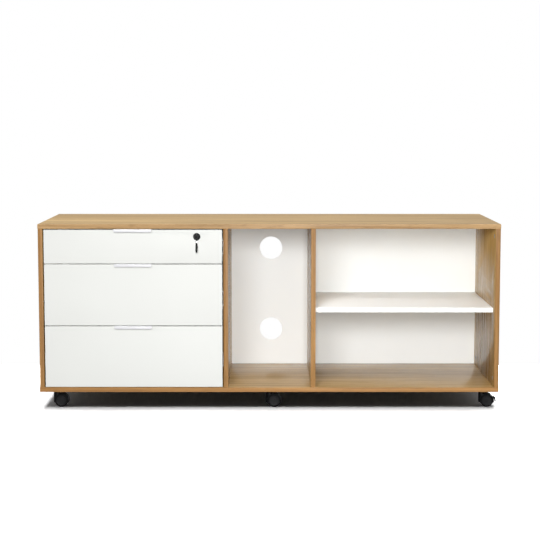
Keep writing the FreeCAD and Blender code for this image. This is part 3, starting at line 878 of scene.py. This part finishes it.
plate_low, plate_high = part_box("caster_plates")
swivels = {joint["name"]: joint["pos_m"] for joint in frame["joints"] if "swivel" in joint["name"]}
reach = plate_high.x - max(place[0] for place in swivels.values()) - plate_screw_inset
plate_screws = []
for corner in corners:
    x, y, _ = swivels[f"caster_{corner}_swivel"]
    for step_x, step_y in ((-1, -1), (-1, 1), (1, -1), (1, 1)):
        plate_screws.append((Vector((x + step_x * reach, y + step_y * reach, plate_low.z)), downward))
set_fasteners("caster_screws", "case", screw_zinc, caster_screw, plate_screws)
print("caster screws:", len(plate_screws))

# %% [markdown]
# ## Backdrop
# The studio is white. The world shows white to the camera and through holes. Rays that leave a mirror find
# it greyer, because lacquered boards that mirror a white room would look washed out. All other rays find
# little light, so that a white picture adds none. The world's own light is stronger beside and behind the
# cabinet than in front, where the lamps stand. A photograph of a studio could light the scene too, but
# plain light is easier to steer.


# %% Build the backdrop
def seen_directly(tree, *rays):
    """Socket that is 1 for rays of these kinds."""
    path = add_node(tree, "ShaderNodeLightPath")
    total = path.outputs[rays[0]]
    for ray in rays[1:]:
        both = add_node(tree, "ShaderNodeMath", {"operation": "MAXIMUM"})
        join(tree, total, both.inputs[0])
        join(tree, path.outputs[ray], both.inputs[1])
        total = both.outputs[0]
    return total


def between(tree, share, low, high, start=0, end=1):
    """Socket that goes from one value to another as a share goes from start to end."""
    limits = {"From_Min": start, "From_Max": end, "To_Min": low, "To_Max": high}
    return add_node(tree, "ShaderNodeMapRange", Value=share, **limits).outputs["Result"]


world_in_front = 0.08
world_around = 0.42
world_in_mirrors = 0.3
world_in_picture = 1.0
front_to_back = (-0.7, 0.1)

world = bpy.data.worlds.new("studio")
world.use_nodes = True
bpy.context.scene.world = world
world_tree = world.node_tree
background = world_tree.nodes["Background"]
background.inputs["Color"].default_value = (1, 1, 1, 1)
direction = add_node(world_tree, "ShaderNodeTexCoord").outputs["Generated"]
axes = add_node(world_tree, "ShaderNodeSeparateXYZ", Vector=direction)
backward = between(world_tree, axes.outputs["Y"], 0, 1, *front_to_back)
world_strength = between(world_tree, backward, world_in_front, world_around)
mirror_rays = seen_directly(world_tree, "Is Glossy Ray")
world_strength = between(world_tree, mirror_rays, world_strength, world_in_mirrors)
picture_rays = seen_directly(world_tree, "Is Camera Ray", "Is Transmission Ray")
world_strength = between(world_tree, picture_rays, world_strength, world_in_picture)
join(world_tree, world_strength, background.inputs["Strength"])
print("world light from", world_in_front, "in front to", world_around, "behind")

# %% [markdown]
# ## Floor
# The floor is white paper that keeps the cabinet's shadow. It follows the world's rule: white to the
# camera, greyer in mirrors and nearly black to all other rays, so that it throws no light under the
# cabinet. Away from the cabinet it fades to white, so no edge of the paper shows.

# %% Lay the floor
floor_white = 0.006
floor_seen = 1.2
floor_in_mirrors = 0.26
floor_half_width = 6.0
floor_front = 8.0
floor_behind = 0.35
fade_to_white = (1.3, 2.0)

floor_back = cad_high.y + floor_behind
floor_corners = []
for x, y in ((-1, -floor_front), (1, -floor_front), (1, floor_back), (-1, floor_back)):
    floor_corners.append((x * floor_half_width, y, 0))
floor_mesh = bpy.data.meshes.new("floor")
floor_mesh.from_pydata(floor_corners, [], [(0, 1, 2, 3)])
floor = bpy.data.objects.new("floor", floor_mesh)
bpy.context.scene.collection.objects.link(floor)

floor_finish = bpy.data.materials.new("studio_floor")
floor_finish.use_nodes = True
floor_tree = floor_finish.node_tree
floor_tree.nodes.remove(floor_tree.nodes["Principled BSDF"])
mirror_rays = seen_directly(floor_tree, "Is Glossy Ray")
picture_rays = seen_directly(floor_tree, "Is Camera Ray", "Is Transmission Ray")
floor_tone = between(floor_tree, mirror_rays, floor_white, floor_in_mirrors)
floor_tone = between(floor_tree, picture_rays, floor_tone, floor_seen)
matte = add_node(floor_tree, "ShaderNodeBsdfDiffuse", Color=floor_tone)
paper = add_node(floor_tree, "ShaderNodeEmission")
away = add_node(floor_tree, "ShaderNodeVectorMath", {"operation": "LENGTH"})
join(floor_tree, add_node(floor_tree, "ShaderNodeTexCoord").outputs["Object"], away.inputs[0])
far_away = between(floor_tree, away.outputs["Value"], 0, 1, *fade_to_white)
faded = add_node(floor_tree, "ShaderNodeMixShader")
join(floor_tree, between(floor_tree, picture_rays, 0, far_away), faded.inputs[0])
join(floor_tree, matte.outputs["BSDF"], faded.inputs[1])
join(floor_tree, paper.outputs["Emission"], faded.inputs[2])
join(floor_tree, faded.outputs["Shader"], floor_tree.nodes["Material Output"].inputs["Surface"])
floor_mesh.materials.append(floor_finish)
print("floor ends", floor_behind, "m behind the cabinet")

# %% [markdown]
# ## Lamps
# The main lamp is small and stands in front, left of the camera: it shades the left end of each open bay.
# A narrow lamp, nearly in line with the right divider, fills both open bays to their backs, and a broad one
# overhead lights the top. A photographer would then touch up with cards and small lamps, and so do the
# rest: one for the shelf, one for the bottom board and the soft front of the shadow, one for the floor, and
# one for the tops of the pulls. Light linking says which pieces a lamp lights.

# %% Set the lamps
lamp_target = Vector((0, 0, 0.35))


def lamp(name, place, size, power):
    """Soft rectangular lamp that looks at the middle of the cabinet."""
    data = bpy.data.lights.new(name, "AREA")
    data.shape = "RECTANGLE"
    data.size, data.size_y = size
    data.energy = power
    light = bpy.data.objects.new(name, data)
    light.location = place
    light.rotation_euler = (lamp_target - light.location).to_track_quat("-Z", "Y").to_euler()
    bpy.context.scene.collection.objects.link(light)
    return light


def light_only(light, *pieces):
    """Lets a lamp light these pieces and no others."""
    chosen = bpy.data.collections.new(f"lit_by_{light.name}")
    for piece in pieces:
        chosen.objects.link(piece)
    light.light_linking.receiver_collection = chosen


front_lamp = lamp("front_lamp", place=(-0.75, -4.5, 1.55), size=(0.9, 0.8), power=66)
bay_lamp = lamp("bay_lamp", place=(0.1, -4.4, 0.95), size=(0.4, 1.4), power=128)
high_lamp = lamp("high_lamp", place=(-0.3, -3.6, 3.0), size=(1.6, 1.4), power=180)
sill_lamp = lamp("sill_lamp", place=(0.1, -1.8, 3.0), size=(2.2, 1.2), power=60)
top_lamp = lamp("top_lamp", place=(0.0, 0.7, 3.0), size=(3.0, 1.8), power=92)
floor_lamp = lamp("floor_lamp", place=(0.0, 0.64, 2.6), size=(3.0, 1.9), power=290)
pull_lamp = lamp("pull_lamp", place=(-0.47, -0.55, 2.4), size=(1.0, 0.3), power=20)

left_out = bpy.data.collections.new("left_out_by_cabinet_lamps")
left_out.objects.link(floor)
left_out.collection_objects[0].light_linking.link_state = "EXCLUDE"
for light in (front_lamp, bay_lamp, top_lamp):
    light.light_linking.receiver_collection = left_out
light_only(high_lamp, bpy.data.objects["shelf_finished"])
light_only(sill_lamp, bpy.data.objects["bottom_panel_finished"], floor)
light_only(floor_lamp, floor)
light_only(pull_lamp, *pulls)

# %% [markdown]
# ## Loaded size
# The dressed cabinet must be as large as the loaded one. The loaded box is printed, in millimetres.

# %% Print the loaded size
print("box in mm before", [round(side / MM, 1) for side in cad_high - cad_low])
